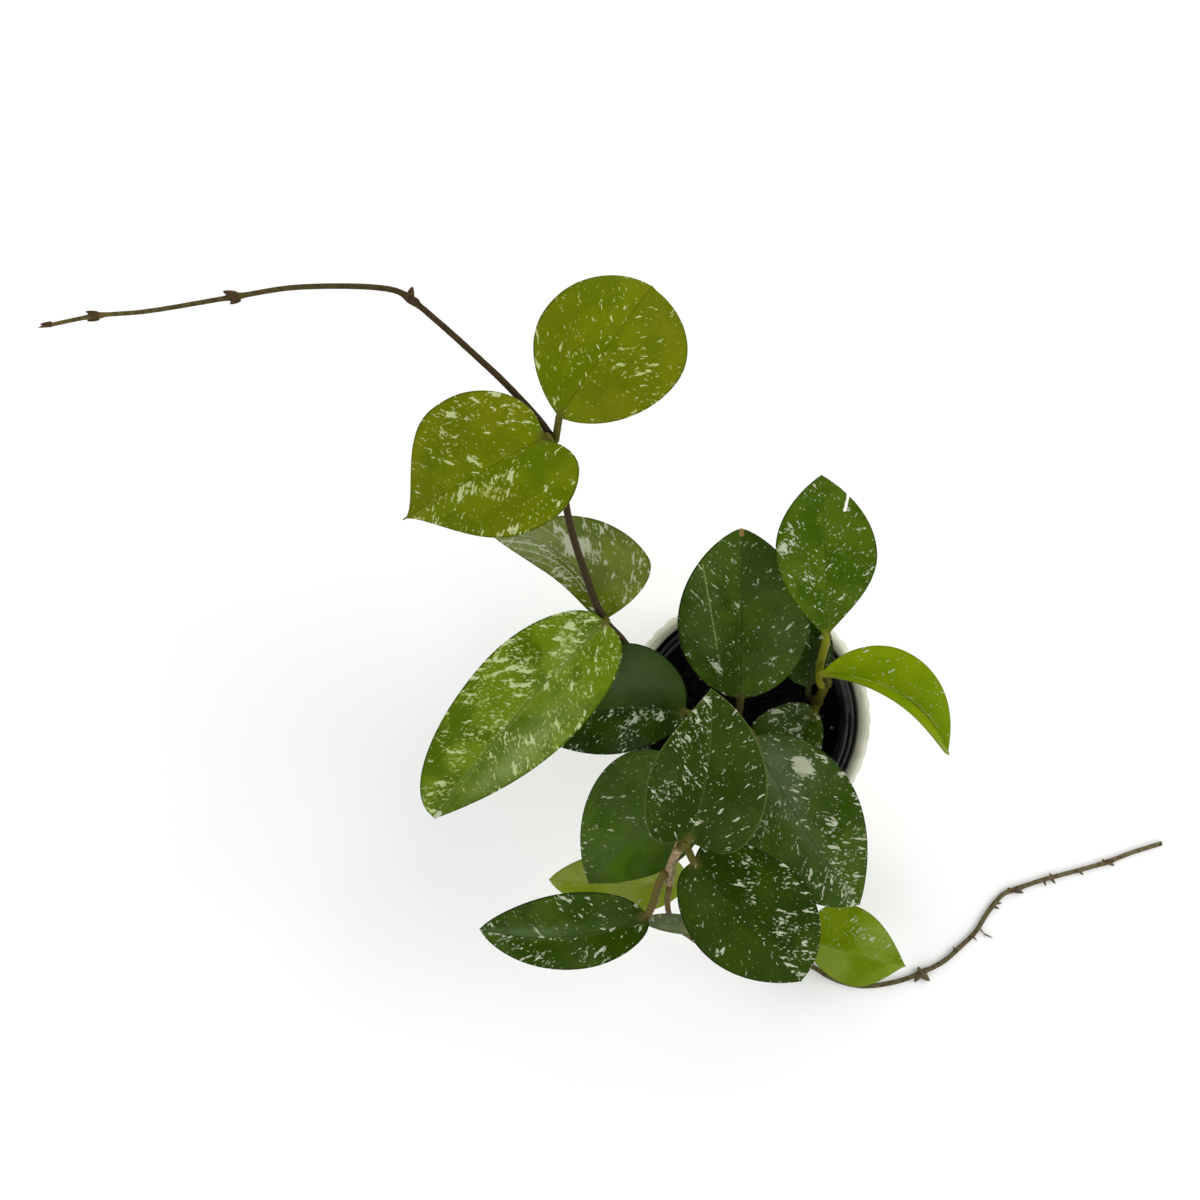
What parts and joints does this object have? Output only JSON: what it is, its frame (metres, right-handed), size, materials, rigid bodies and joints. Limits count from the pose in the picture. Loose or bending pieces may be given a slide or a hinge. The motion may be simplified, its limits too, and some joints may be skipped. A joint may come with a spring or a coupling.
{
  "type": "potted hoya plant",
  "caption": "Young vining houseplant with thick oval splashed leaves on a climbing and a trailing stem, in a black nursery pot inside a fluted glazed cover pot.",
  "frame": {"origin": "middle of the cover pot's flat bottom", "axes": "+Z up; +X along the trailing stem, to the right as the plant is looked at from above with +Y upward"},
  "size_m": [0.547, 0.3432, 0.2435],
  "materials": {
    "glazed_pot": "cream-green glaze, glossy, fine throwing lines on the rim",
    "black_plastic": "thin moulded plastic, satin, dusty inside",
    "potting_mix": "damp crumbly mix of bark and fibre with a few pale bits",
    "stem_brown": "smooth young bark, brown turning olive, darker at the joints",
    "stem_tan": "speckled tan bark on the old stem, olive-brown on the trailing shoot",
    "stem_green": "smooth olive green skin",
    "leaf_dark": "thick waxy dark green blade, satin, flecked with silver-grey splashes",
    "leaf_mid": "thick waxy green blade, satin, with many pale splashes",
    "leaf_olive": "thick waxy olive green blade with a bronze tint and pale flecks",
    "leaf_bright": "young yellow-green blade, satin, nearly plain",
    "leaf_grey": "grey-green blade with a pale sheen and soft streaks"
  },
  "bodies": {
    "root": {"cover_pot": "glazed_pot", "nursery_pot": "black_plastic", "potting_mix": "potting_mix", "stem_long_vine": "stem_brown", "stem_trailing": "stem_tan", "stem_short": "stem_green", "leaf_folded_dark": "leaf_dark", "leaf_long_splashed": "leaf_mid", "leaf_behind_vine": "leaf_grey", "leaf_round_pointed": "leaf_olive", "leaf_round_top": "leaf_olive", "leaf_lower_left": "leaf_dark", "leaf_oval": "leaf_dark", "leaf_large_splashed": "leaf_dark", "leaf_heart": "leaf_dark", "leaf_lower_centre": "leaf_dark", "leaf_lower_long": "leaf_dark", "leaf_bright_left": "leaf_bright", "leaf_small_grey": "leaf_grey", "leaf_bright_low": "leaf_bright", "leaf_top_right": "leaf_mid", "leaf_folded_bright": "leaf_bright", "leaf_small_inner": "leaf_dark", "leaf_small_splashed": "leaf_dark"}
  },
  "joints": []
}
